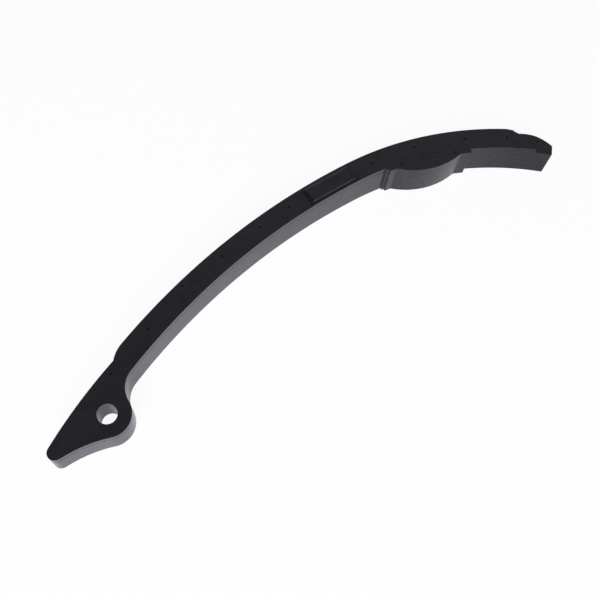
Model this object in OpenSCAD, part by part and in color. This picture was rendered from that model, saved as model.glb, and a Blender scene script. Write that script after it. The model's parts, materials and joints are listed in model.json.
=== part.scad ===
// Timing chain guide: one moulded blade that swings on a pivot bore and presses its
// rounded outer edge, the chain face, against the running chain. It lies on the lower of
// its two flat sides. The origin is the middle of the bore's lower mouth. X runs from the
// bore towards the far end, Y towards the chain face and Z along the bore. All lengths
// are in millimetres.

/* [Pivot end] */
// Diameter of the pivot bore
bore_d = 6.5; // [4:0.1:8]
// Width of the pivot end along the bore, flush with the blade's upper side
pivot_w = 11.4; // [7:0.1:13]
// Radius of the round boss about the bore
boss_r = 7.7; // [6.5:0.1:8.5]
// Distance from the bore back to the middle of the beak's rounded tip
tip_back = 18.9; // [15:0.1:24]
// Distance from the bore down to the middle of the beak's rounded tip
tip_drop = 2.1; // [0:0.1:4]
// Radius of the beak's rounded tip
tip_r = 2.55; // [1.5:0.05:3.2]
// Radius of the shallow hollow under the beak
under_r = 43; // [30:1:80]
// Radius of the beak's outer edge
back_r = 183; // [120:1:300]
// Radius of the hollow between the boss and the blade
neck_r = 9; // [6:0.5:14]
// Distance from the bore to the step that leads down to the blade's lower side
relief_at = 8.2; // [8:0.1:12]

/* [Blade] */
// Width across the chain, from one flat side to the other
blade_w = 14; // [9:0.1:20]
// Depth from the chain face to the blade's inner edge
blade_depth = 8.15; // [6.5:0.05:9.5]
// Distance along X from the bore to the crest of the chain face
crest_x = 106.4; // [95:0.1:115]
// Height along Y of the crest of the chain face over the bore
crest_y = 35.45; // [32:0.05:38]
// Radius of the chain face's long lower stretch
lower_r = 247.8; // [220:0.1:280]
// Radius of the chain face's upper stretch
upper_r = 116.8; // [100:0.1:135]
// Turn in degrees from the crest to the start of the upper stretch
turn_angle = 2.2; // [0:0.1:5]
// Turn in degrees of the upper stretch, up to the end face
upper_angle = 39.65; // [35:0.05:43]

/* [Start of the chain face] */
// Distance along X from the bore to the foot of the step up to the chain face
start_x = 9.4; // [8:0.1:12]
// Height of the chain face over the beak's outer edge at that foot
start_h = 1.5; // [0.5:0.05:2]
// Radius that rounds the start of the chain face off
start_r = 12; // [5:0.5:20]

/* [Plunger pad] */
// Turn in degrees from the start of the upper stretch to the middle of the pad
pad_angle = 14.8; // [12:0.1:17]
// Length of the pad along the blade's inner edge
pad_len = 32.2; // [28:0.1:36]
// Height of the lands at the pad's two ends over the blade's inner edge
land_h = 1.6; // [0.8:0.05:2.2]
// Height of the pad's round crown over the blade's inner edge
crown_h = 5.3; // [3.5:0.05:7]
// Radius of the crown
crown_r = 28; // [22:0.5:34]
// Distance of the crown's middle from the pad's middle, towards the bore
crown_off = 0.7; // [0:0.1:2]
// Length of the small rib before the pad's first land
rib_len = 0.9; // [0.5:0.1:2]
// Height of the small rib over the blade's inner edge
rib_h = 0.8; // [0.3:0.05:1.3]

/* [Far end] */
// Radius of the lead-in that rounds the chain face off
lead_r = 16; // [13:0.5:28]
// Depth that is left at the end face
end_depth = 3.8; // [2.5:0.1:6]
// Step down from the flat side to the lowered end
end_drop = 2.1; // [0.5:0.1:4]
// Length of the lowered end along the chain face, up to the end face
drop_outer = 18.1; // [14:0.1:20]
// Length of the lowered end along the inner edge
drop_inner = 6.6; // [4:0.1:9]
// Radius of the rounded edge of the flat side at the step
shoulder_r = 15; // [10:0.5:30]

/* [Side recess] */
// Length of the shallow recess in the flat side, at its mouth
recess_len = 20.6; // [12:0.1:26]
// Depth of the recess
recess_depth = 0.6; // [0.3:0.1:1.5]
// How far each sloping wall of the recess runs inwards
recess_slope = 0.5; // [0.2:0.1:1.2]
// Width of the rim left between the recess and the inner edge
recess_rim = 1; // [0.3:0.1:1.6]
// Width of the rim left between the recess and the crest of the chain face
recess_back = 1.15; // [0.6:0.05:2]
// Distance along X from the middle of the recess to the crest
recess_off = 0.5; // [0:0.1:8]

/* [Hidden] */
$fn = 180;
// how far a cutter reaches past what it cuts
past = 1;
// how far arcs that run into each other overlap, so that each pair meets in a true crossing
lap = 0.005;

// direction at an angle measured from +Y towards +X, and the angle from one point to another
function heading(a) = [sin(a), cos(a)];
function bearing(a, b) = atan2(b.x - a.x, b.y - a.y);
// unit vector from one point to another
function toward(a, b) = (b - a) / norm(b - a);
// crossing of two circles, on the left (side 1) or right (side -1) of the line of centres
function meet(a, ra, b, rb, side) =
    let (d = norm(b - a), u = toward(a, b), along = (d * d + ra * ra - rb * rb) / (2 * d))
    a + along * u + side * sqrt(ra * ra - along * along) * [-u.y, u.x];

bore_c = [0, 0];
tip_c = [-tip_back, -tip_drop];

// centres of the chain face's two stretches, which share a tangent where they meet
lower_c = [crest_x, crest_y - lower_r];
upper_c = lower_c + (lower_r - upper_r + lap) * heading(turn_angle);
upper_inner_r = upper_r - blade_depth;
end_angle = turn_angle + upper_angle;

// rounded start of the chain face, from the foot of the step on the beak's outer edge
foot_angle = -asin((crest_x - start_x) / lower_r);
start_foot = lower_c + (lower_r - start_h) * heading(foot_angle);
start_c = meet(lower_c, lower_r - start_r + lap, start_foot, start_r, -1);
start_angle = bearing(lower_c, start_c);

// arcs of the pivot end, each tangent to its neighbours
under_c = meet(bore_c, boss_r + under_r - lap, tip_c, tip_r + under_r - lap, 1);
back_c = meet(tip_c, back_r - tip_r + lap, start_foot + lap * heading(foot_angle), back_r, -1);
neck_c = meet(bore_c, boss_r + neck_r - lap, lower_c, lower_r - blade_depth - neck_r + lap, 1);

// point of the step in the lower side, which runs across at the heading of the foot
relief_p = relief_at * heading(foot_angle + 90);

// lead-in circle, tangent to the chain face and ending on the end face
end_outer = upper_c + (upper_inner_r + end_depth) * heading(end_angle);
lead_c = meet(upper_c, upper_r - lead_r + lap, end_outer, lead_r, 1);
lead_angle = bearing(upper_c, lead_c);

// edge of the lowered end, between a point on each edge of the blade
drop_outer_p = upper_c + upper_r * heading(end_angle - drop_outer / upper_r * 180 / PI);
drop_inner_p = upper_c + upper_inner_r * heading(end_angle - drop_inner / upper_inner_r * 180 / PI);
shoulder_c = meet(drop_outer_p, shoulder_r, drop_inner_p, shoulder_r, -1);

// the plunger pad, in degrees about the centre of the upper stretch
pad_mid_angle = turn_angle + pad_angle;
pad_half_angle = pad_len / 2 / upper_inner_r * 180 / PI;
rib_angle = rib_len / upper_inner_r * 180 / PI;
crown_angle = pad_mid_angle - crown_off / upper_inner_r * 180 / PI;

module disc(c, r) {
    translate(c) circle(r = r);
}

// ring about c between two radii
module ring(c, inner, outer) {
    difference() {
        disc(c, outer);
        disc(c, inner);
    }
}

// half-plane on the right of the line through c at a heading
module right_of(c, a) {
    reach = 2 * lower_r;
    translate(c)
        rotate(-a)
            translate([0, -reach]) square([reach, 2 * reach]);
}

// what lies to the right of one line through c and to the left of another
module between(c, a0, a1) {
    difference() {
        right_of(c, a0);
        right_of(c, a1);
    }
}

// all that the bow of the blade holds from a given depth under the chain face inwards
module bow(depth) {
    difference() {
        disc(lower_c, lower_r - depth);
        difference() {
            right_of(lower_c, turn_angle);
            disc(upper_c, upper_r - depth);
        }
    }
}

// the bent blade, with its chain face rounded off at both ends
module blade() {
    difference() {
        intersection() {
            bow(0);
            right_of(lower_c, foot_angle);
        }
        bow(blade_depth);
        right_of(upper_c, end_angle);
        difference() {
            right_of(lower_c, start_angle + 180);
            disc(start_c, start_r);
        }
        difference() {
            right_of(upper_c, lead_angle);
            disc(lead_c, lead_r);
        }
    }
}

// bulge that the tensioner's plunger presses on, with a land at each end and a small rib
module plunger_pad() {
    root = upper_inner_r + past;
    first_angle = pad_mid_angle - pad_half_angle;
    last_angle = pad_mid_angle + pad_half_angle;
    intersection() {
        union() {
            ring(upper_c, upper_inner_r - land_h, root);
            intersection() {
                disc(upper_c, root);
                disc(upper_c + (upper_inner_r - crown_h + crown_r) * heading(crown_angle), crown_r);
            }
        }
        between(upper_c, first_angle, last_angle);
    }
    intersection() {
        ring(upper_c, upper_inner_r - rib_h, root);
        between(upper_c, first_angle - rib_angle, pad_mid_angle);
    }
}

// boss, beak and the hollow neck that joins them to the blade
module pivot_end() {
    mid_r = lower_r - blade_depth / 2;
    difference() {
        intersection() {
            polygon([
                tip_c,
                under_c,
                bore_c,
                neck_c,
                lower_c + mid_r * toward(lower_c, neck_c),
                lower_c + mid_r * heading(start_angle),
                start_foot + past * heading(foot_angle),
                tip_c + (tip_r + blade_depth) * toward(back_c, tip_c)
            ]);
            disc(back_c, back_r);
        }
        disc(under_c, under_r);
        disc(neck_c, neck_r);
    }
    disc(bore_c, boss_r);
    disc(tip_c, tip_r);
}

// shallow recess with sloping walls, sunk from the upper flat side
module side_recess() {
    low = crest_y - blade_depth + recess_rim;
    recess_w = blade_depth - recess_rim - recess_back;
    mid = crest_x - recess_off;
    high = past * recess_slope / recess_depth;
    translate([mid, low + recess_w / 2, pivot_w])
        intersection() {
            rotate([90, 0, 0])
                linear_extrude(recess_w + 2 * past + 2 * high, center = true)
                    polygon([
                        [-recess_len / 2 + recess_slope, -recess_depth],
                        [recess_len / 2 - recess_slope, -recess_depth],
                        [recess_len / 2 + high, past],
                        [-recess_len / 2 - high, past]
                    ]);
            rotate([90, 0, 90])
                linear_extrude(recess_len + 2 * past + 2 * high, center = true)
                    polygon([
                        [-recess_w / 2 + recess_slope, -recess_depth],
                        [recess_w / 2 - recess_slope, -recess_depth],
                        [recess_w / 2 + high, past],
                        [-recess_w / 2 - high, past]
                    ]);
        }
}

// what the step at the far end takes off the upper flat side
module lowered_end() {
    // the rounded edge runs on past both edges of the blade by this many degrees
    spread = 25;
    reach = shoulder_r + drop_outer + blade_depth;
    translate([0, 0, pivot_w - end_drop])
        linear_extrude(end_drop + past)
            intersection() {
                ring(shoulder_c, shoulder_r, reach);
                between(
                    shoulder_c,
                    bearing(shoulder_c, drop_outer_p) - spread,
                    bearing(shoulder_c, drop_inner_p) + spread
                );
            }
}

module chain_guide() {
    color([0.15, 0.15, 0.16])
        difference() {
            union() {
                translate([0, 0, pivot_w - blade_w])
                    linear_extrude(blade_w) {
                        blade();
                        plunger_pad();
                        intersection() {
                            pivot_end();
                            right_of(relief_p, foot_angle);
                        }
                    }
                linear_extrude(pivot_w)
                    difference() {
                        pivot_end();
                        right_of(relief_p, foot_angle);
                    }
            }
            translate([0, 0, -past]) cylinder(d = bore_d, h = pivot_w + 2 * past);
            side_recess();
            lowered_end();
        }
}

chain_guide();
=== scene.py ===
"""Timing chain guide: one moulded blade that swings on a pivot bore and leads a running chain.

The blade is one closed surface. Stations run along it from the beak's tip to the end face, and at
each one a section goes from the middle of the upper side over the edge and down the wall to the
middle of the lower side. Lengths are in metres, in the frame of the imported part. Points in plan
are complex numbers x + iy.
"""

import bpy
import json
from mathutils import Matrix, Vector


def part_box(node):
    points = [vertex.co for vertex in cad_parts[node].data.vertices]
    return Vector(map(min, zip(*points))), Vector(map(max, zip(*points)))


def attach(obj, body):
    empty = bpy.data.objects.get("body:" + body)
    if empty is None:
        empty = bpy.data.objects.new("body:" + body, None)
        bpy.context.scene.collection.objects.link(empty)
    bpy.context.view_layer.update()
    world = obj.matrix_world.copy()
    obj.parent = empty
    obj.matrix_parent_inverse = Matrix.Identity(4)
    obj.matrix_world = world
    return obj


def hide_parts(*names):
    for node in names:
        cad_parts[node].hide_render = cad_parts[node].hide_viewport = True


bl_info = {
    "name": "Timing Chain Guide",
    "version": (1, 0, 0),
    "blender": (4, 5, 0),
    "location": "3D View > Sidebar > Chain Guide",
    "description": "Builds a moulded timing chain guide with its finish and a plain stage",
    "category": "Add Mesh",
}

import json
import math

import bpy
import numpy as np
from bpy.props import FloatProperty, FloatVectorProperty, PointerProperty
from mathutils import Matrix, Vector

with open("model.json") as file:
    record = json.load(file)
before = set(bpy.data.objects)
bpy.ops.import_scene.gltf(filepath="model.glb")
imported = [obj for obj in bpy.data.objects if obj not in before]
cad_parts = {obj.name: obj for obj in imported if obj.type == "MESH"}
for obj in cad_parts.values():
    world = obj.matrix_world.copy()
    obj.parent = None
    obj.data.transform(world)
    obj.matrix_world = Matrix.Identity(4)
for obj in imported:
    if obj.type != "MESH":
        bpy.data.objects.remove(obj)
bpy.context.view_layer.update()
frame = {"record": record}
LOW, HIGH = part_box("chain_guide")
BORE = next(m for m in frame["record"]["mounts"] if m["name"] == "pivot_bore")

MM = 0.001
# spacing of the points that an edge is first worked out at, and the fewest points of one piece
FINE = 0.02 * MM
FEWEST = 9
# distances under which two points of an edge, or of the finished surface, are the same
SAME = FINE / 1000
WELD = FINE / 50
# run of the nearly upright step in the lower side
STEP_RUN = 0.2 * MM
# distance from a rounded edge to the row of points that keeps the wall beside it straight
SUPPORT = 0.12 * MM
# rows of points over half the upper side, half the lower side and a rounded edge
UPPER_ROWS, LOWER_ROWS, EDGE_ROWS = 36, 10, 5
# power by which the lower side's rows crowd towards the edge
LOWER_CROWD = 1.4
# faces that meet at a greater angle than this have a crisp edge between them
SHARP = math.radians(38)
# half the turn about its centre over which the shoulder's arc shapes the upper side
SHOULDER_REACH = math.radians(50)
# shares of the recess's depth in its near wall's curve and in the short step below that, and
# the step's run as a share of the curve's
NEAR_CURVE, NEAR_STEP, NEAR_RUN = 0.8, 0.2, 0.15
# run in which the tab's edge radius grows past the shoulder, where it ends, and its fade
TAB_GROWS, TAB_ENDS, TAB_FADES = 2 * MM, 8 * MM, 5 * MM
# distance along the pad over which the parting line turns faint
LINE_FADES = 6 * MM
# image width in pixels that the camera's focal length is given for
IMAGE_PX = 599
# half the width of the floor, and the points along each of its sides
FLOOR_REACH = 6
FLOOR_POINTS = 9
# distances along X between which a painted shade darkens the floor in gloss beside the far end
FAR_END = (0.15, 0.175)
# the surroundings in gloss: heights where the horizon ends and the lamps fade, the axis of the
# ring of lamps and where it starts along that, and where the far side starts by x - SIDEWAYS |y|
HORIZON, LAMPS = (0.2, 0.45), (0.75, 1.02)
RING_AXIS, RING = (0.1, -0.25, 1.0), (0.66, 0.74)
SIDEWAYS, FAR_SIDE = 0.9, (0.3, 0.65)
# range that most values of a noise lie in, and its upper part
MOST, UPPER_PART = (0.3, 0.7), (0.45, 0.7)
WHITE = (1, 1, 1, 1)

# ejector pin marks as (turn from the crest in degrees, depth under the chain face in mm)
LOWER_PINS = np.array([
    (-23.96, 3.73), (-19.57, 3.55), (-15.27, 1.76), (-11.27, 3.23), (-7.27, 3.49), (-4.25, 3.48),
])
UPPER_PINS = np.array([
    (6.04, 3.93), (14.96, 3.42), (24.8, 3.62), (32.91, 3.83), (39.05, 3.22),
    (11.29, 8.67), (18.41, 7.35), (22.22, 8.73),
])
# radii of the rings of points about a pin mark's middle, as shares of the mark's radius
PIN_RINGS = np.array([0, 0.5, 0.96, 1.0])

# turns about the bore from the directions of its two ends to the tie points beside it
TIP_TIES = math.radians(48)
OUTER_TIE, INNER_TIE = math.radians(38), math.radians(62)
# places in the list of tie points
BORE_START, BORE_END, RELIEF, NECK_END = 1, 2, 3, 4
PAD_START, PAD_END, SHOULDER, END_FACE = 6, 11, 12, 13


def length(name, mm, about):
    """A length property, with its default in millimetres."""
    return FloatProperty(
        name=name, description=about, default=mm * MM, min=0.0, unit="LENGTH", precision=5
    )


def angle(name, degrees, about):
    """An angle property, with its default in degrees."""
    return FloatProperty(
        name=name, description=about, default=math.radians(degrees), subtype="ANGLE"
    )


def share(name, value, about):
    """A property between 0 and 1."""
    return FloatProperty(
        name=name, description=about, default=value, min=0.0, max=1.0, subtype="FACTOR"
    )


def tint(name, colour, about):
    """A colour property."""
    return FloatVectorProperty(
        name=name, description=about, default=colour, min=0.0, max=1.0, size=3, subtype="COLOR"
    )


def place(name, point, about, subtype="TRANSLATION"):
    """A property that holds a point in space, or a direction."""
    return FloatVectorProperty(
        name=name, description=about, default=point, size=3, subtype=subtype
    )


class PivotEndSizes(bpy.types.PropertyGroup):
    """Boss, beak and neck at the bore."""

    bore_r: length("Bore radius", BORE["dims"]["r_mm"], "Radius of the pivot bore")
    boss_r: length("Boss radius", 7.7, "Radius of the round boss about the bore")
    tip_back: length("Tip back", 18.9, "Distance from the bore back to the middle of the tip")
    tip_drop: length("Tip drop", 2.1, "Distance from the bore down to the middle of the tip")
    tip_r: length("Tip radius", 2.55, "Radius of the beak's rounded tip")
    under_r: length("Hollow radius", 43, "Radius of the shallow hollow under the beak")
    back_r: length("Back radius", 183, "Radius of the beak's outer edge")
    neck_r: length("Neck radius", 9, "Radius of the hollow between boss and blade")
    relief: length("Relief", -LOW.z / MM, "Height of the pivot end's lower side over the blade's")
    relief_at: length("Relief step", 8.2, "Distance from the bore to the step in the lower side")


class BladeSizes(bpy.types.PropertyGroup):
    """The bent blade."""

    depth: length("Depth", 8.15, "Depth from the chain face to the inner edge")
    crest_x: length("Crest along", 106.4, "Distance along X from the bore to the crest")
    crest_y: length("Crest height", HIGH.y / MM, "Height of the crest over the bore")
    lower_r: length("Lower radius", 247.8, "Radius of the chain face's long lower stretch")
    upper_r: length("Upper radius", 116.8, "Radius of the chain face's upper stretch")
    turn: angle("Turn", 2.2, "Turn from the crest to the start of the upper stretch")
    upper: angle("Upper stretch", 39.65, "Turn of the upper stretch, up to the end face")
    start_x: length("Start along", 9.4, "Distance along X to the foot of the chain face's step")
    start_h: length("Start step", 1.5, "Height of the step up to the chain face")
    start_r: length("Start radius", 12, "Radius that rounds the start of the chain face off")


class PadSizes(bpy.types.PropertyGroup):
    """Plunger pad on the inner edge."""

    place: angle("Place", 14.8, "Turn from the start of the upper stretch to the pad's middle")
    long: length("Length", 32.2, "Length of the pad along the inner edge")
    land_h: length("Land height", 1.6, "Height of the lands over the inner edge")
    crown_h: length("Crown height", 5.3, "Height of the round crown over the inner edge")
    crown_r: length("Crown radius", 28, "Radius of the crown")
    crown_off: length("Crown offset", 0.7, "Distance of the crown from the pad's middle")
    hollow_r: length("Hollow radius", 1.5, "Radius of the hollows beside the crown")
    rib_len: length("Rib length", 0.9, "Length of the small rib before the first land")
    rib_h: length("Rib height", 0.8, "Height of the small rib over the inner edge")


class FarEndSizes(bpy.types.PropertyGroup):
    """Lead-in and lowered end."""

    lead_r: length("Lead-in radius", 16, "Radius that rounds the chain face off")
    end_depth: length("End depth", 3.8, "Depth that is left at the end face")
    drop: length("Drop", 2.1, "Step down from the flat side to the lowered end")
    drop_outer: length("Outer length", 18.1, "Length of the lowered end along the chain face")
    drop_inner: length("Inner length", 6.6, "Length of the lowered end along the inner edge")
    shoulder_r: length("Shoulder radius", 15, "Radius of the flat side's edge at the step")
    round_r: length("Edge radius", 0.7, "Radius that rounds the shoulder's edge")
    slope: length("Slope", 0.15, "How far the step runs outwards under its rounded edge")
    tab_r: length("Tab edge radius", 0.8, "Radius along the tab's outer edge beside the step")


class RecessSizes(bpy.types.PropertyGroup):
    """Shallow recess in the upper side."""

    long: length("Length", 21.9, "Length of the recess at its mouth")
    deep: length("Depth", 0.6, "Depth of the recess")
    rim: length("Rim", 0.1, "Width of the flat rim between the recess and the inner edge")
    back: length("Back rim", 1.05, "Width of the rim between the recess and the chain face")
    off: length("Offset", 0.55, "Distance of the recess from the crest")
    near_run: length("Near slope", 1.55, "How far the rounded wall beside the inner edge runs in")
    far_run: length("Far slope", 0.5, "How far the wall beside the chain face runs in")
    end_run: length("End slope", 3.0, "How far the two end walls run in")


class MouldMarks(bpy.types.PropertyGroup):
    """What the mould leaves on the part."""

    edge_r: length("Edge radius", 0.1, "Radius along the edges of the two flat sides")
    rim_r: length("Bore edge radius", 0.04, "Radius along the edges of the bore's two mouths")
    corner_r: length("Corner radius", 0.2, "Radius of the corners of the outline")
    pin_r: length("Pin mark radius", 0.42, "Radius of the ejector pin marks")
    pin_deep: length("Pin mark depth", 0.8, "Depth of the ejector pin marks")
    parting_deep: length("Parting line depth", 0.1, "Depth of the fine line along the blade's wall")
    parting_faint: length("Faint line depth", 0.03, "Depth of that line from the pad onwards")
    parting_wide: length("Parting line width", 0.3, "Width of the fine line around the wall")


class PlasticFinish(bpy.types.PropertyGroup):
    """Satin black plastic."""

    colour: tint("Colour", (0.0098, 0.0092, 0.0122), "Colour of the plastic")
    bloom: tint("Bloom", (0.0150, 0.0142, 0.0182), "Colour of its paler patches")
    ior: FloatProperty(
        name="IOR", description="Index of refraction of the plastic", default=1.42, min=1.0
    )
    rough: share("Roughness", 0.155, "Roughness of the plastic")
    uneven: share("Unevenness", 0.05, "How much the roughness varies")
    streaks: share("Streaks", 0.09, "How much rougher the drawn streaks along the walls are")
    gloss: share("Gloss", 0.5, "Mean strength of the gloss")
    mottle: share("Mottle", 0.13, "How much the strength of the gloss varies")
    grain: share("Grain", 0.12, "Strength of the fine moulded grain")
    grain_deep: length("Grain depth", 0.02, "Depth of the grain at full strength")


class StageLook(bpy.types.PropertyGroup):
    """Floor, light and camera."""

    floor: tint("Floor", (0.78, 0.75, 0.86), "Colour of the floor")
    shade: share("Shade", 0.06, "How much of the part's shadow shows on the floor")
    mirrored: share("Mirrored shade", 0.4, "How much of that shadow shows in gloss")
    # painted shade: share by which the floor beside the far end is darkened in gloss only, so that
    # the far end's walls mirror a darker floor
    dimmed: share("Dimmed", 0.32, "How much dimmer the floor beside the far end is in gloss")
    sky: tint("Sky", (0.97, 0.955, 1.0), "Colour of the surroundings")
    overhead: share("Overhead", 0.06, "Brightness of the surroundings right overhead")
    lamps: share("Lamps", 0.44, "Brightness of the surroundings high up all round")
    between: share("Between", 0.03, "Brightness between the horizon and the lamps")
    horizon: share("Horizon", 1.0, "Brightness of the surroundings at the horizon")
    far_side: share("Far side", 0.15, "Share of that brightness towards +X")
    key: FloatProperty(
        name="Key light", description="Power of the soft light", default=9.3, unit="POWER"
    )
    key_wide: length("Key width", 500, "Width of the soft light")
    key_at: place("Key place", (-0.35, -0.45, 0.6), "Place of the soft light")
    key_aim: place("Key aim", (0.08, 0.01, 0.0), "Point that the soft light faces")
    eye: place("Camera", (-0.003131, -0.082224, 0.270875), "Place of the camera")
    aim: place("Aim", (0.075903, 0.004568, -0.0022), "Point that the camera looks at")
    up: place(
        "Up", (0.489905, 0.779855, 0.38964), "Direction that is upright in the picture", "DIRECTION"
    )
    focal_px: FloatProperty(
        name="Focal length", description="Focal length in pixels of the picture", default=850.0
    )


class ChainGuideSettings(bpy.types.PropertyGroup):
    """All settings of the guide and its stage."""

    pivot: PointerProperty(type=PivotEndSizes)
    blade: PointerProperty(type=BladeSizes)
    pad: PointerProperty(type=PadSizes)
    end: PointerProperty(type=FarEndSizes)
    recess: PointerProperty(type=RecessSizes)
    marks: PointerProperty(type=MouldMarks)
    finish: PointerProperty(type=PlasticFinish)
    stage: PointerProperty(type=StageLook)


def heading(angle):
    """Unit vector at an angle from +Y towards +X, as the complex number sin a + i cos a."""
    return 1j * np.exp(-1j * np.asarray(angle))


def toward(a, b):
    """Unit vector from point a to point b."""
    return (b - a) / abs(b - a)


def meet(a, ra, b, rb, side):
    """Crossing of two circles on the left (1) or right (-1) of the line from a to b."""
    d = abs(b - a)
    near = (d * d + ra * ra - rb * rb) / (2 * d)
    return a + toward(a, b) * (near + 1j * side * math.sqrt(ra * ra - near * near))


def arc(c, r, way, p, q):
    """Points c + r e^(ia) from p to q and their tangents; way is 1 anticlockwise, -1 clockwise."""
    first = np.angle(p - c)
    sweep = way * ((way * (np.angle(q - c) - first)) % (2 * np.pi))
    count = max(FEWEST, int(abs(sweep) * r / FINE))
    radial = np.exp(1j * (first + sweep * np.linspace(0, 1, count)))
    return c + r * radial, way * 1j * radial


def straight(p, q):
    """Points p + (q - p) u on a straight edge and their tangents."""
    u = np.linspace(0, 1, max(FEWEST, int(abs(q - p) / FINE)))
    return p + (q - p) * u, np.full(u.size, toward(p, q))


def joint(a, b):
    """Point where one part of an edge, an arc or a straight, runs smoothly into the next."""
    if len(a) == 2:
        return a[1]
    if len(b) == 2:
        return b[0]
    (c, r, way), (d, r_next, way_next) = a, b
    return c + r * (toward(d, c) if way == way_next and r < r_next else toward(c, d))


def ease(x):
    """Smooth step 3x^2 - 2x^3 from 0 at x = 0 to 1 at x = 1."""
    x = np.clip(x, 0, 1)
    return x * x * (3 - 2 * x)


def between(along, marks, values):
    """Complex values at given distances, in proportion between those at the marks."""
    return np.interp(along, marks, values.real) + 1j * np.interp(along, marks, values.imag)


class Edge:
    """A run of arcs and straights, measured by the distance along it.

    An arc is given as (centre, radius, way) and a straight as (start, end). Each part runs
    smoothly into the next, and the last one is a straight.
    """

    def __init__(self, first, parts, outward):
        ends = [first, *map(joint, parts, parts[1:]), parts[-1][1]]
        runs = [
            straight(p, q) if len(part) == 2 else arc(*part, p, q)
            for part, p, q in zip(parts, ends, ends[1:])
        ]
        points, tangents = (np.concatenate(values) for values in zip(*runs))
        new = np.append(True, np.abs(np.diff(points)) > SAME)
        self.points, self.tangents = points[new], tangents[new]
        steps = np.abs(np.diff(self.points))
        self.along = np.append(0.0, np.cumsum(steps))
        self.curve = np.append(np.abs(np.diff(self.tangents)) / steps, 0.0)
        self.outward = outward

    def place(self, point):
        """Distance along the edge of its point nearest to a given one."""
        return self.along[np.argmin(np.abs(self.points - point))]

    def ray(self, angle, reach):
        """The edge's point that lies at an angle about the bore, within reach of it."""
        rel = self.points * np.exp(-1j * angle)
        miss = np.where(np.abs(rel) < reach, np.abs(np.angle(rel)), np.inf)
        return self.points[np.argmin(miss)]

    def cross(self, way, distance, reach):
        """The edge's point at a distance from the bore along a direction, within reach of it."""
        miss = np.abs((self.points * np.conj(way)).real - distance)
        return self.points[np.argmin(np.where(np.abs(self.points) < reach, miss, np.inf))]

    def at(self, along):
        """Points and outward normals at given distances."""
        tangent = between(along, self.along, self.tangents)
        normal = self.outward * tangent / np.abs(tangent)
        return between(along, self.along, self.points), normal

    def bend(self, along):
        """Curvature at given distances."""
        return np.interp(along, self.along, self.curve)


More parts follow.
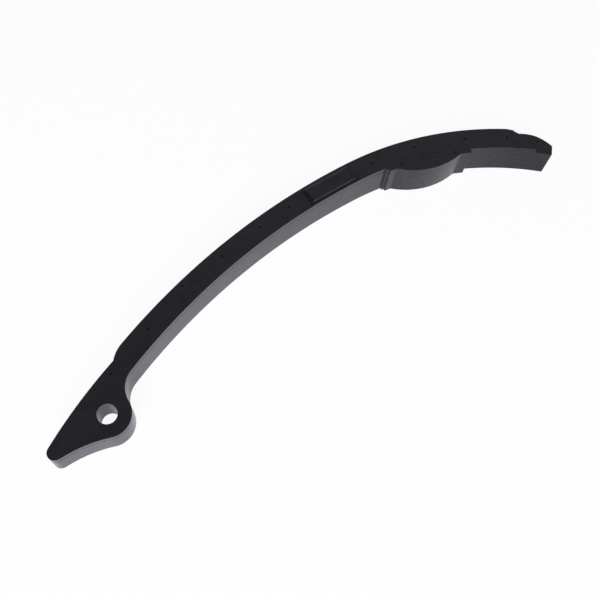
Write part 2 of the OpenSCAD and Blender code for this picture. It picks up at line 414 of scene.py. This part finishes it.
class Outline:
    """Centres and edges of the guide's outline, each arc tangent to its neighbours."""

    def __init__(self, s):
        v, b, e = s.pivot, s.blade, s.end
        self.tip = -v.tip_back - 1j * v.tip_drop
        self.lower = b.crest_x + 1j * (b.crest_y - b.lower_r)
        self.upper = self.lower + (b.lower_r - b.upper_r) * heading(b.turn)
        self.inner_r = b.upper_r - b.depth
        self.end_turn = b.turn + b.upper
        foot_turn = -math.asin((b.crest_x - b.start_x) / b.lower_r)
        self.foot = self.lower + (b.lower_r - b.start_h) * heading(foot_turn)
        self.blade_way = -1j * heading(foot_turn)
        self.shoulder_ends = (
            self.upper + b.upper_r * heading(self.end_turn - e.drop_outer / b.upper_r),
            self.upper + self.inner_r * heading(self.end_turn - e.drop_inner / self.inner_r),
        )
        self.shoulder = meet(
            self.shoulder_ends[0], e.shoulder_r, self.shoulder_ends[1], e.shoulder_r, -1
        )
        start = meet(self.lower, b.lower_r - b.start_r, self.foot, b.start_r, -1)
        back = meet(self.tip, v.back_r - v.tip_r, self.foot, v.back_r, -1)
        under = meet(0, v.boss_r + v.under_r, self.tip, v.tip_r + v.under_r, 1)
        self.neck = meet(0, v.boss_r + v.neck_r, self.lower, b.lower_r - b.depth - v.neck_r, 1)
        end_ray = heading(self.end_turn)
        end_outer = self.upper + (self.inner_r + e.end_depth) * end_ray
        lead = meet(self.upper, b.upper_r - e.lead_r, end_outer, e.lead_r, 1)
        self._outer(s, back, under, start, lead, end_ray)
        self._inner(s, under, end_ray)

    def _outer(self, s, back, under, start, lead, end_ray):
        """Upper half of the tip, beak's back, step, chain face, lead-in and half the end face."""
        v, b, e, q = s.pivot, s.blade, s.end, s.marks.corner_r
        mid = toward(back, self.tip) + toward(self.tip, under)
        self.apex = self.tip + v.tip_r * mid / abs(mid)
        self.step_at = meet(back, v.back_r + q, start, b.start_r + q, 1)
        # corner of the end face: q inside the lead-in circle and q behind the end face
        behind = self.upper + 1j * q * end_ray - lead
        shift = (behind * np.conj(end_ray)).real
        rho = -shift + math.sqrt((e.lead_r - q) ** 2 - abs(behind) ** 2 + shift**2)
        corner = self.upper + (rho + 1j * q) * end_ray
        rho_low = math.sqrt((self.inner_r + q) ** 2 - q * q)
        self.end_corner = self.upper + rho * end_ray
        self.end_low = self.upper + rho_low * end_ray
        self.end_mid = (self.end_corner + self.end_low) / 2
        parts = [
            (self.tip, v.tip_r, -1),
            (back, v.back_r, -1),
            (self.step_at, q, 1),
            (start, b.start_r, -1),
            (self.lower, b.lower_r, -1),
            (self.upper, b.upper_r, -1),
            (lead, e.lead_r, -1),
            (corner, q, -1),
            (self.end_corner, self.end_mid),
        ]
        self.outer = Edge(self.apex, parts, 1j)

    def _step(self, r0, r1, angle, q):
        """Parts from radius r0 to r1 about the upper centre: a radial straight, corners rounded."""
        ray = heading(angle)
        inward = 1 if r1 < r0 else -1
        top = math.sqrt((max(r0, r1) - q) ** 2 - q * q)
        foot = math.sqrt((min(r0, r1) + q) ** 2 - q * q)
        hollow = (self.upper + (top + 1j * inward * q) * ray, q, -1)
        face = (self.upper + top * ray, self.upper + foot * ray)
        round_ = (self.upper + (foot - 1j * inward * q) * ray, q, 1)
        return [hollow, face, round_] if inward == 1 else [round_, face[::-1], hollow]

    def _inner(self, s, under, end_ray):
        """Lower half of the tip, beak's hollow, boss, neck, inner edge with the pad, end face."""
        v, b, d, q = s.pivot, s.blade, s.pad, s.marks.corner_r
        r0, lower_in = self.inner_r, b.lower_r - b.depth
        land_r, rib_r = r0 - d.land_h, r0 - d.rib_h
        mid = b.turn + d.place
        half = d.long / 2 / r0
        self.pad_turns = (mid - half - d.rib_len / r0, mid - half, mid + half)
        crown_turn = mid - d.crown_off / r0
        crown = self.upper + (r0 - d.crown_h + d.crown_r) * heading(crown_turn)
        first, last = (
            meet(self.upper, land_r - d.hollow_r, crown, d.crown_r + d.hollow_r, side)
            for side in (1, -1)
        )
        self.crown_top = self.upper + (r0 - d.crown_h) * heading(crown_turn)
        self.crown_ends = [crown + d.crown_r * toward(crown, c) for c in (first, last)]
        self.neck_foot = self.lower + lower_in * toward(self.lower, self.neck)
        parts = [
            (self.tip, v.tip_r, 1),
            (under, v.under_r, -1),
            (0, v.boss_r, 1),
            (self.neck, v.neck_r, -1),
            (self.lower, lower_in, -1),
            (self.upper, r0, -1),
            *self._step(r0, rib_r, self.pad_turns[0], q),
            (self.upper, rib_r, -1),
            *self._step(rib_r, land_r, self.pad_turns[1], q),
            (self.upper, land_r, -1),
            (first, d.hollow_r, -1),
            (crown, d.crown_r, 1),
            (last, d.hollow_r, -1),
            (self.upper, land_r, -1),
            *self._step(land_r, r0, self.pad_turns[2], q),
            (self.upper, r0, -1),
            (self.end_low + 1j * q * end_ray, q, 1),
            (self.end_low, self.end_mid),
        ]
        self.inner = Edge(self.apex, parts, -1j)


def pin_points(o, s):
    """Middles of the ejector pin marks."""
    rows = ((o.lower, s.blade.lower_r, LOWER_PINS), (o.upper, s.blade.upper_r, UPPER_PINS))
    return np.concatenate(
        [c + (r - pins[:, 1] * MM) * heading(np.radians(pins[:, 0])) for c, r, pins in rows]
    )


def upper_side(p, o, s):
    """Height of the upper side at points p: flat, less the recess and the lowered end.

    The recess falls by the least of four shares, one for each side: a straight slope at the far
    side, an eased step at each end, and at the near side a parabola in u^2 with a short eased step
    below it. At the shoulder's arc the edge is a quarter circle, followed by an eased step over
    the slope.
    """
    r, e, b = s.recess, s.end, s.blade
    from_end = r.long / 2 - np.abs(p.real - b.crest_x + r.off)
    from_far = b.crest_y - r.back - p.imag
    from_near = p.imag - (b.crest_y - b.depth + r.rim)
    walls = np.minimum(ease(from_end / r.end_run), np.clip(from_far / r.far_run, 0, 1))
    u = from_near / r.near_run
    near = NEAR_CURVE * np.clip(u, 0, 1) ** 2 + NEAR_STEP * ease((u - 1) / NEAR_RUN)
    z = HIGH.z - r.deep * np.minimum(walls, near)
    axis = toward(o.shoulder, sum(o.shoulder_ends) / 2)
    rel = p - o.shoulder
    turned = np.abs(np.angle(rel / axis))
    past = np.where(turned < SHOULDER_REACH, np.abs(rel) - e.shoulder_r, -1.0)
    u = np.clip(past / e.round_r + 0.5, 0, 1)
    fall = ease((past - e.round_r / 2) / e.slope)
    return z - e.round_r * (1 - np.sqrt(1 - u * u)) - (e.drop - e.round_r) * fall


def lower_side(p, o, s):
    """Height of the lower side at points p: the blade's, raised by the relief at the pivot end."""
    past = (p * np.conj(o.blade_way)).real - s.pivot.relief_at
    return LOW.z + s.pivot.relief * ease(-past / STEP_RUN)


def bore_angles(o):
    """Directions from the bore in which its two halves meet: to the tip and to the blade."""
    return np.angle(o.tip), np.angle((o.foot + o.neck_foot) / 2)


def tie_points(o, s):
    """Pairs of points that face each other across the guide, from the tip to the end face."""
    b, v = s.blade, s.pivot
    left, right = bore_angles(o)
    # the edges also pass the same directions far along the blade
    reach = 3 * v.boss_r

    def both(angle):
        return (o.upper + b.upper_r * heading(angle), o.upper + o.inner_r * heading(angle))

    def facing(point):
        return (both(np.angle(1j * np.conj(point - o.upper)))[0], point)

    return [
        (o.apex, o.apex),
        (o.outer.ray(left - TIP_TIES, reach), o.inner.ray(left + TIP_TIES, reach)),
        (o.outer.ray(right + OUTER_TIE, reach), o.inner.ray(right - INNER_TIE, reach)),
        (
            o.outer.cross(o.blade_way, v.relief_at, reach),
            o.inner.cross(o.blade_way, v.relief_at, reach),
        ),
        (o.step_at, o.neck_foot),
        both(b.turn),
        both(o.pad_turns[0]),
        both(o.pad_turns[1]),
        facing(o.crown_ends[0]),
        facing(o.crown_top),
        facing(o.crown_ends[1]),
        both(o.pad_turns[2]),
        o.shoulder_ends,
        (o.end_corner, o.end_low),
        (o.end_mid, o.end_mid),
    ]


class Stations:
    """Places along the guide, each with a point on the outer and one on the inner edge.

    The tie points fix the two edges to each other. Between two of them both distances grow in
    step. Stations lie closer where an edge turns tightly and at the pin marks, the recess's ends
    and the steps.
    """

    # places that are tried when stations are spread, and when a point's own station is sought
    SPREAD, SOUGHT = 20001, 8001
    # turn of an edge from one station to the next, and the least and greatest distance between
    TURN, CLOSEST, WIDEST = 0.22, 0.06 * MM, 0.5 * MM
    # share of the depth at which the middle line runs, and what the pad and the tab add to it
    MIDDLE, AT_PAD, AT_TAB = 0.62, -0.2, 0.05
    # how far before the pad that change starts, and the runs of its rise, fall and the tab's
    BEFORE_PAD, PAD_RISE, PAD_FALL, TAB_RISE = 3 * MM, 7 * MM, 11 * MM, 4 * MM
    # distance from the shoulder within which the middle line bulges
    BULGE = 6 * MM
    # power by which the middle line's points crowd towards the tip
    TIP_CROWD = 1.5
    # its last straight run up to the end face's corner, the share of the rest of its way that is
    # done there, and how far inside the end face it stops
    LAST_RUN, AT_CORNER, INSIDE = 5 * MM, 0.985, 0.9 * MM

    def __init__(self, o, s):
        self.o, self.s = o, s
        pairs = tie_points(o, s)
        self.outer = np.array([o.outer.place(p) for p, _ in pairs])
        self.inner = np.array([o.inner.place(p) for _, p in pairs])
        self.ties = np.append(0.0, np.cumsum((np.diff(self.outer) + np.diff(self.inner)) / 2))
        self.at = self._spread()

    def _spread(self):
        """Distances of the stations, by summing how many are wanted per metre."""
        o, s, ties = self.o, self.s, self.ties
        fine = np.linspace(0, ties[-1], self.SPREAD)
        dense = np.zeros(fine.size)
        for edge, along in ((o.outer, self.outer), (o.inner, self.inner)):
            here = np.interp(fine, ties, along)
            wanted = np.clip(edge.bend(here) / self.TURN, 1 / self.WIDEST, 1 / self.CLOSEST)
            dense = np.maximum(dense, np.gradient(here, fine) * wanted)

        pins = [self.find(p) for p in pin_points(o, s)]
        mid, half = s.blade.crest_x - s.recess.off, (s.recess.long - s.recess.end_run) / 2
        level = 1j * (s.blade.crest_y - s.blade.depth / 2)
        recess_ends = [self.find(mid + side * half + level) for side in (-1, 1)]
        # where stations crowd, within what distance, and how far apart they lie there
        for places, reach, spacing in (
            (pins, 1.0 * MM, 0.2 * MM),
            (recess_ends, 0.8 * s.recess.end_run, 0.16 * MM),
            (ties[SHOULDER], 0.8 * MM, 0.05 * MM),
            (ties[RELIEF], 2 * STEP_RUN, STEP_RUN / 4),
        ):
            near = np.abs(fine[:, None] - np.atleast_1d(places)).min(axis=1) < reach
            dense = np.where(near, np.maximum(dense, 1 / spacing), dense)

        total = np.append(0.0, np.cumsum((dense[1:] + dense[:-1]) / 2 * np.diff(fine)))
        at = np.interp(np.linspace(0, total[-1], int(total[-1]) + 1), total, fine)
        # stations fall on the bore's two ends, the step in the lower side and the neck's end
        for tie in ties[[BORE_START, BORE_END, RELIEF, NECK_END]]:
            at[np.argmin(np.abs(at - tie))] = tie
        return at

    def edge(self, outward, at):
        """Points and outward normals of one edge."""
        if outward:
            return self.o.outer.at(np.interp(at, self.ties, self.outer))
        return self.o.inner.at(np.interp(at, self.ties, self.inner))

    def along_bore(self, at):
        """Share of the way along the bore."""
        return (at - self.ties[BORE_START]) / (self.ties[BORE_END] - self.ties[BORE_START])

    def bore_angle(self, outward, at):
        """Direction from the bore's axis, running round one half of it."""
        left, right = bore_angles(self.o)
        if outward:
            sweep = -((left - right) % (2 * np.pi))
        else:
            sweep = (right - left) % (2 * np.pi)
        return left + sweep * np.clip(self.along_bore(at), 0, 1)

    def middle_share(self, at):
        """Share of the depth at which the middle line runs, clear of the pin marks."""
        ties = self.ties
        pad = ease((at - ties[PAD_START] + self.BEFORE_PAD) / self.PAD_RISE)
        pad = pad * ease((ties[PAD_END] + self.PAD_FALL - at) / self.PAD_FALL)
        tab = ease((at - ties[SHOULDER]) / self.TAB_RISE)
        return self.MIDDLE + self.AT_PAD * pad + self.AT_TAB * tab

    def blade_middle(self, at):
        """The middle line along the blade: A + w(B - A), with A the outer and B the inner edge."""
        a, b = self.edge(True, at)[0], self.edge(False, at)[0]
        return a + self.middle_share(at) * (b - a)

    def middle(self, outward, at):
        """Line that the sections of one half end on.

        It runs from the middle of the tip to the bore, round that half of the bore's rim, straight
        to the neck's end, on along the middle of the blade, and straight to just inside the end
        face. At the shoulder it bulges to follow the arc.
        """
        o, s, ties = self.o, self.s, self.ties
        chord = sum(o.shoulder_ends) / 2
        bulge = (s.end.shoulder_r - abs(chord - o.shoulder)) * toward(o.shoulder, chord)
        bulge = bulge * ease(1 - np.abs(at - ties[SHOULDER]) / self.BULGE)
        line = self.blade_middle(at) + bulge

        rim = s.pivot.bore_r + s.marks.rim_r
        left, right = (rim * np.exp(1j * angle) for angle in bore_angles(o))
        beak = np.clip(at / ties[BORE_START], 0, 1) ** self.TIP_CROWD
        line = np.where(at < ties[BORE_START], o.tip + (left - o.tip) * beak, line)
        round_bore = (at >= ties[BORE_START]) & (at <= ties[BORE_END])
        line = np.where(round_bore, rim * np.exp(1j * self.bore_angle(outward, at)), line)

        neck_end = self.blade_middle(ties[[NECK_END]])[0]
        heads = [(p * np.conj(o.blade_way)).real for p in (right, neck_end)]
        part = (s.pivot.relief_at - heads[0]) / (heads[1] - heads[0])
        share_of_neck = np.interp(at, ties[BORE_END : NECK_END + 1], [0, part, 1])
        in_neck = (at > ties[BORE_END]) & (at < ties[NECK_END])
        line = np.where(in_neck, right + (neck_end - right) * share_of_neck, line)

        last = ties[[END_FACE]] - self.LAST_RUN
        last_point = self.blade_middle(last)[0]
        inside_end = o.end_mid - self.INSIDE * self.edge(True, ties[-1:])[1][0]
        done = np.interp(at, [last[0], ties[END_FACE], ties[-1]], [0, self.AT_CORNER, 1])
        return np.where(at > last[0], last_point + (inside_end - last_point) * done, line)

    def find(self, point):
        """Distance of the station whose section passes nearest to a point."""
        at = np.linspace(0, self.ties[-1], self.SOUGHT)
        miss = np.full(at.size, np.inf)
        for outward in (True, False):
            rim, middle = self.edge(outward, at)[0], self.middle(outward, at)
            way = middle - rim
            u = np.clip(((point - rim) * np.conj(way)).real / np.abs(way) ** 2, 0, 1)
            miss = np.minimum(miss, np.abs(rim + u * way - point))
        return at[np.argmin(miss)]


def quads(first, rows, columns):
    """Corner numbers of the faces of a grid of rows by columns, whose points start at first."""
    n = first + np.arange(rows * columns).reshape(rows, columns)
    return np.stack([n[:-1, :-1], n[1:, :-1], n[1:, 1:], n[:-1, 1:]], axis=-1).reshape(-1, 4)


def weld(points, faces):
    """One vertex for all points that fall on the same place, and the faces that still have area."""
    keys = np.round(points / WELD).astype(np.int64)
    _, first, back = np.unique(keys, axis=0, return_index=True, return_inverse=True)
    faces = back.reshape(-1)[faces]
    apart = np.ones(len(faces), bool)
    for i in range(4):
        apart &= faces[:, i] != faces[:, (i + 1) % 4]
    return points[first], faces[apart]


def press_pins(plan, z, o, s):
    """Sink the pin marks into the grid of an upper side.

    The three square rings of points about the point nearest to a mark become circles: one half way
    in, the floor's edge, and just outside it the rim on the face.
    """
    rim = PIN_RINGS.size - 1
    steps = np.arange(-rim, rim + 1)
    down, across = np.meshgrid(steps, steps, indexing="ij")
    ring = np.maximum(np.abs(down), np.abs(across))
    turned = np.arctan2(down, across)
    spread = s.marks.pin_r * PIN_RINGS[ring]
    sunk = s.marks.pin_deep * (ring < rim)
    for pin in pin_points(o, s):
        i, j = np.unravel_index(np.argmin(np.abs(plan - pin)), plan.shape)
        if rim < i < plan.shape[0] - rim - 1:
            u = toward(plan[i, j - 1], plan[i, j + 1])
            v = plan[i + 1, j] - plan[i - 1, j]
            v = 1j * u * np.sign((v * np.conj(u)).imag)
            block = np.s_[i - rim : i + rim + 1, j - rim : j + rim + 1]
            plan[block] = pin + spread * (np.cos(turned) * u + np.sin(turned) * v)
            z[block] -= sunk


def tab_rounding(st):
    """How much of the tab's own edge radius holds: it grows past the step, then fades."""
    past = st.at - st.ties[SHOULDER] - st.s.end.round_r / 2
    return ease(past / TAB_GROWS) * ease((TAB_ENDS - past) / TAB_FADES)


def wall_rows(st, top, foot, r):
    """Heights of the wall's rows, and how far each lies inside the edge.

    There is a supporting row under the upper edge, which has radius r, and one over the lower
    edge, with the five rows of the parting line's notch between them. Where the upper side lies
    too low for those five, they close up under it without a notch.
    """
    m = st.s.marks
    across = np.array([1.0, 0.5, 0.0, -0.5, -1.0])[:, None]
    line = HIGH.z - st.s.end.drop + m.parting_wide * across
    fade = ease((st.at - st.ties[PAD_START]) / LINE_FADES)
    deep = m.parting_deep + (m.parting_faint - m.parting_deep) * fade
    cap = top - r - SUPPORT * np.arange(2, 7)[:, None]
    notch = np.where(line < cap, deep * (across == 0), 0.0)
    plain = np.zeros((1, top.size))
    heights = np.concatenate(
        [[top - r - SUPPORT], np.minimum(line, cap), [foot + m.edge_r + SUPPORT]]
    )
    return heights, np.concatenate([plain, notch, plain])


def half_shell(st, outward):
    """Points of one half of the guide, with one column for each station.

    The rows run from the middle of the upper side over the edge and down the wall to the middle of
    the lower side. With E the edge, N its outward normal, r the edge radius and M the middle line,
    the flat sides are (E - rN)(1 - t) + Mt at the height of that side, the edges are quarter
    circles of radius r, and the wall is E at falling heights, with a small notch.
    """
    o, s, low_r = st.o, st.s, st.s.marks.edge_r
    e, n = st.edge(outward, st.at)
    middle = st.middle(outward, st.at)
    r = np.full(e.size, low_r)
    if outward:
        r = r + (s.end.tab_r - low_r) * tab_rounding(st)
    t_up = np.linspace(1, 0, UPPER_ROWS)[:, None]
    t_low = (np.linspace(0, 1, LOWER_ROWS) ** LOWER_CROWD)[:, None]
    upper = (e - r * n) * (1 - t_up) + middle * t_up
    lower = (e - low_r * n) * (1 - t_low) + middle * t_low
    z_upper, z_lower = upper_side(upper, o, s), lower_side(lower, o, s)
    press_pins(upper, z_upper, o, s)
    top, foot = z_upper[-1], z_lower[0]
    a = np.radians(np.linspace(0, 90, EDGE_ROWS)[1:])[:, None]
    inset, drop = 1 - np.sin(a), 1 - np.cos(a)
    wall_z, wall_in = wall_rows(st, top, foot, r)
    plan = np.concatenate(
        [upper, e - r * inset * n, e - wall_in * n, e - low_r * inset[::-1] * n, lower]
    )
    z = np.concatenate(
        [z_upper, top - r * drop, wall_z, foot + low_r * drop[::-1], z_lower]
    )
    return np.stack([plan.real, plan.imag, z], axis=-1)


def bore_wall(st, outward):
    """Half of the bore's wall, at the stations that lie along the bore.

    Its radius is R + r(1 - sin a) in the two rounded rims and R between them.
    """
    s, r = st.s, st.s.marks.rim_r
    share_of_bore = st.along_bore(st.at)
    along = (share_of_bore >= 0) & (share_of_bore <= 1)
    angle = st.bore_angle(outward, st.at[along])
    a = np.radians(np.linspace(0, 90, EDGE_ROWS))
    inset, drop = r * (1 - np.sin(a)), r * (1 - np.cos(a))
    base = LOW.z + s.pivot.relief
    radius = s.pivot.bore_r + np.concatenate([inset, [0, 0], inset[::-1]])
    z = np.concatenate(
        [HIGH.z - drop, [HIGH.z - r - SUPPORT, base + r + SUPPORT], base + drop[::-1]]
    )
    plan = radius[:, None] * np.exp(1j * angle)
    height = np.broadcast_to(z[:, None], plan.shape)
    return np.stack([plan.real, plan.imag, height], axis=-1)


def guide_surface(s):
    """Points and faces of the whole guide, welded where its four patches meet."""
    st = Stations(Outline(s), s)
    patches = [
        (half_shell(st, True), True),
        (half_shell(st, False), False),
        (bore_wall(st, True), False),
        (bore_wall(st, False), True),
    ]
    points, faces, first = [], [], 0
    for patch, flip in patches:
        rows, columns = patch.shape[:2]
        q = quads(first, rows, columns)
        faces.append(q[:, ::-1] if flip else q)
        points.append(patch.reshape(-1, 3))
        first += rows * columns
    return weld(np.concatenate(points), np.concatenate(faces))


def mesh_object(name, points, faces, material):
    """An object at the origin with a smooth mesh of the given points and four-cornered faces."""
    mesh = bpy.data.meshes.new(name)
    mesh.vertices.add(len(points))
    mesh.vertices.foreach_set("co", points.astype(np.float32).ravel())
    mesh.loops.add(faces.size)
    mesh.loops.foreach_set("vertex_index", faces.astype(np.int32).ravel())
    mesh.polygons.add(len(faces))
    mesh.polygons.foreach_set("loop_start", np.arange(0, faces.size, 4, dtype=np.int32))
    mesh.polygons.foreach_set("use_smooth", np.ones(len(faces), bool))
    mesh.update(calc_edges=True)
    mesh.validate()
    mesh.set_sharp_from_angle(angle=SHARP)
    mesh.materials.append(material)
    obj = bpy.data.objects.new(name, mesh)
    bpy.context.scene.collection.objects.link(obj)
    return obj


class Graph:
    """The emptied node tree of a material or world, with short ways to add to it."""

    def __init__(self, owner):
        owner.use_nodes = True
        self.tree = owner.node_tree
        self.tree.nodes.clear()

    def add(self, kind, inputs=(), **settings):
        """A node of a kind; each of its inputs is linked to an output or set to a plain value."""
        node = self.tree.nodes.new("ShaderNode" + kind)
        for name, value in settings.items():
            setattr(node, name, value)
        for key, value in dict(inputs).items():
            if isinstance(value, bpy.types.NodeSocket):
                self.tree.links.new(value, node.inputs[key])
            else:
                node.inputs[key].default_value = value
        return node

    def math(self, operation, *values):
        """Result of an operation on numbers."""
        return self.add("Math", enumerate(values), operation=operation).outputs[0]

    def remap(self, value, start, end, interpolation="LINEAR"):
        """A number carried over from the range start to the range end."""
        inputs = {"Value": value}
        inputs["From Min"], inputs["From Max"] = start
        inputs["To Min"], inputs["To Max"] = end
        node = self.add("MapRange", inputs, interpolation_type=interpolation)
        return node.outputs["Result"]

    def fall(self, value, start, end):
        """As remap, with a smooth step."""
        return self.remap(value, start, end, "SMOOTHSTEP")

    def colours(self, factor, first, second):
        """Mix of two colours."""
        inputs = {"Factor": factor, "A": first, "B": second}
        return self.add("Mix", inputs, data_type="RGBA").outputs["Result"]

    def rays(self):
        """Whether a ray is seen by the eye, straight or through glass, and whether in gloss."""
        path = self.add("LightPath").outputs
        seen = self.math("MAXIMUM", path["Is Camera Ray"], path["Is Transmission Ray"])
        return seen, path["Is Glossy Ray"]


def satin_plastic(f):
    """Black plastic with a satin, slightly uneven skin and a fine moulded grain."""
    material = bpy.data.materials.new("satin_black_plastic")
    g = Graph(material)
    where = g.add("TexCoord").outputs["Object"]

    def noise(vector, scale, detail):
        inputs = {"Scale": scale, "Detail": detail, "Vector": vector}
        return g.add("TexNoise", inputs).outputs["Fac"]

    # streaks lie flat along the walls, so their noise changes fastest over the height
    flat = g.add("Mapping", {"Scale": (1, 1, 4), "Vector": where}).outputs["Vector"]
    patches = noise(where, scale=130, detail=3)
    flow = noise(where, scale=420, detail=4)
    streaks = noise(flat, scale=320, detail=3)
    grain = noise(where, scale=5200, detail=2)

    satin = g.remap(flow, MOST, (f.rough - f.uneven / 2, f.rough + f.uneven / 2))
    drawn = g.remap(streaks, UPPER_PART, (0.0, f.streaks))
    gloss = g.remap(streaks, MOST, (f.gloss - f.mottle, f.gloss + f.mottle))
    bump = g.add("Bump", {"Strength": f.grain, "Distance": f.grain_deep, "Height": grain})
    skin = g.add(
        "BsdfPrincipled",
        {
            "Base Color": g.colours(patches, (*f.colour, 1), (*f.bloom, 1)),
            "Roughness": g.math("ADD", satin, drawn),
            "IOR": f.ior,
            "Specular IOR Level": gloss,
            "Normal": bump.outputs["Normal"],
        },
    )
    g.add("OutputMaterial", {"Surface": skin.outputs["BSDF"]})
    return material


def floor_paper(look):
    """White paper that glows evenly to the eye and in gloss, and shows each a share of the shadow.

    In gloss its glow has the tint of the surroundings, and beside the far end a painted shade makes
    it dimmer.
    """
    material = bpy.data.materials.new("white_paper")
    g = Graph(material)
    seen, mirrored = g.rays()
    direct = g.math("MULTIPLY", seen, 1 - look.shade)
    gloss = g.math("MULTIPLY", mirrored, 1 - look.mirrored)
    paper = g.add("BsdfDiffuse", {"Color": (*look.floor, 1)})
    glow = g.add("Emission", {"Color": g.colours(mirrored, WHITE, (*look.sky, 1)), "Strength": 1.0})
    even = g.add(
        "MixShader",
        {"Fac": g.math("MAXIMUM", direct, gloss), 1: paper.outputs[0], 2: glow.outputs[0]},
    )
    where = g.add("SeparateXYZ", {"Vector": g.add("TexCoord").outputs["Object"]})
    # painted shade: in gloss only, the floor fades towards black beside the far end
    painted_shade = g.remap(where.outputs["X"], FAR_END, (0.0, look.dimmed))
    # the second shader is left empty, which is black
    dim = g.add("MixShader", {"Fac": g.math("MULTIPLY", mirrored, painted_shade), 1: even.outputs[0]})
    g.add("OutputMaterial", {"Surface": dim.outputs[0]})
    return material


def surroundings(look):
    """Surroundings that are white to the eye, straight or through glass, and graded in gloss.

    In gloss they are white at the horizon, dark over it, lit all round higher up by a leaning ring
    of lamps that is dim overhead, and dimmer towards +X.
    """
    world = bpy.data.worlds.new("studio")
    g = Graph(world)
    way = g.add("TexCoord").outputs["Generated"]
    axis = g.add("SeparateXYZ", {"Vector": way}).outputs
    leaning = g.add("VectorMath", {0: way, 1: RING_AXIS}, operation="DOT_PRODUCT")
    ring = g.fall(leaning.outputs["Value"], RING, (0.0, 1.0))
    lamps = g.fall(axis["Z"], LAMPS, (look.lamps, look.overhead))
    horizon = g.fall(axis["Z"], HORIZON, (look.horizon, look.between))
    height = g.math("MAXIMUM", horizon, g.math("MULTIPLY", ring, lamps))
    beyond = g.math("MULTIPLY_ADD", g.math("ABSOLUTE", axis["Y"]), -SIDEWAYS, axis["X"])
    strength = g.math("MULTIPLY", height, g.fall(beyond, FAR_SIDE, (1.0, look.far_side)))

    sky = g.add("Background", {"Color": (*look.sky, 1), "Strength": strength})
    plain = g.add("Background", {"Color": WHITE, "Strength": 1.0})
    mix = g.add("MixShader", {"Fac": g.rays()[0], 1: sky.outputs[0], 2: plain.outputs[0]})
    g.add("OutputWorld", {"Surface": mix.outputs[0]})
    return world


class CHAINGUIDE_OT_mould(bpy.types.Operator):
    """Build the guide's moulded body in satin black plastic"""

    bl_idname = "chain_guide.mould"
    bl_label = "Mould the Guide"
    bl_options = {"REGISTER", "UNDO"}

    def execute(self, context):
        settings = context.scene.chain_guide
        points, faces = guide_surface(settings)
        body = mesh_object("guide_body", points, faces, satin_plastic(settings.finish))
        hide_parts("chain_guide")
        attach(body, "root")
        return {"FINISHED"}


class CHAINGUIDE_OT_stage(bpy.types.Operator):
    """Lay the white floor and set up the light, the surroundings and the camera"""

    bl_idname = "chain_guide.stage"
    bl_label = "Set the Stage"
    bl_options = {"REGISTER", "UNDO"}

    def execute(self, context):
        scene = context.scene
        look = scene.chain_guide.stage
        side = FLOOR_REACH * np.linspace(-1, 1, FLOOR_POINTS)
        y, x = np.meshgrid(side, side)
        points = np.stack([x, y, np.full(x.shape, LOW.z)], axis=-1).reshape(-1, 3)
        floor = mesh_object("floor", points, quads(0, *x.shape), floor_paper(look))
        scene.world = surroundings(look)

        lamp = bpy.data.lights.new("key_softbox", "AREA")
        lamp.shape = "DISK"
        lamp.size = look.key_wide
        lamp.energy = look.key
        key = bpy.data.objects.new("key_softbox", lamp)
        key_at = Vector(look.key_at)
        facing = (Vector(look.key_aim) - key_at).to_track_quat("-Z", "Y")
        key.matrix_world = Matrix.Translation(key_at) @ facing.to_matrix().to_4x4()
        scene.collection.objects.link(key)

        eye, aim, up = Vector(look.eye), Vector(look.aim), Vector(look.up)
        back = (eye - aim).normalized()
        right = up.cross(back).normalized()
        axes = Matrix((right, back.cross(right), back)).transposed()
        lens = bpy.data.cameras.new("camera")
        lens.sensor_width = 36.0
        lens.lens = look.focal_px / IMAGE_PX * lens.sensor_width
        lens.clip_start = 0.01
        camera = bpy.data.objects.new("camera", lens)
        camera.matrix_world = Matrix.Translation(eye) @ axes.to_4x4()
        scene.collection.objects.link(camera)
        scene.camera = camera
        scene.view_settings.view_transform = "Standard"
        return {"FINISHED"}


class CHAINGUIDE_PT_panel(bpy.types.Panel):
    """Sizes, finish and steps of the timing chain guide"""

    bl_label = "Timing Chain Guide"
    bl_idname = "CHAINGUIDE_PT_panel"
    bl_space_type = "VIEW_3D"
    bl_region_type = "UI"
    bl_category = "Chain Guide"

    def draw(self, context):
        settings = context.scene.chain_guide
        for step in (CHAINGUIDE_OT_mould, CHAINGUIDE_OT_stage):
            self.layout.operator(step.bl_idname)
        for group in ("pivot", "blade", "pad", "end", "recess", "marks", "finish", "stage"):
            box = self.layout.box()
            box.label(text=group.capitalize())
            values = getattr(settings, group)
            for name in values.bl_rna.properties.keys():
                if name not in ("rna_type", "name"):
                    box.prop(values, name)


CLASSES = (
    PivotEndSizes, BladeSizes, PadSizes, FarEndSizes, RecessSizes, MouldMarks, PlasticFinish,
    StageLook, ChainGuideSettings, CHAINGUIDE_OT_mould, CHAINGUIDE_OT_stage, CHAINGUIDE_PT_panel,
)


def register():
    for cls in CLASSES:
        bpy.utils.register_class(cls)
    bpy.types.Scene.chain_guide = PointerProperty(type=ChainGuideSettings)


def unregister():
    del bpy.types.Scene.chain_guide
    for cls in reversed(CLASSES):
        bpy.utils.unregister_class(cls)


def main():
    register()
    bpy.ops.chain_guide.mould()
    bpy.ops.chain_guide.stage()


if __name__ == "__main__":
    main()
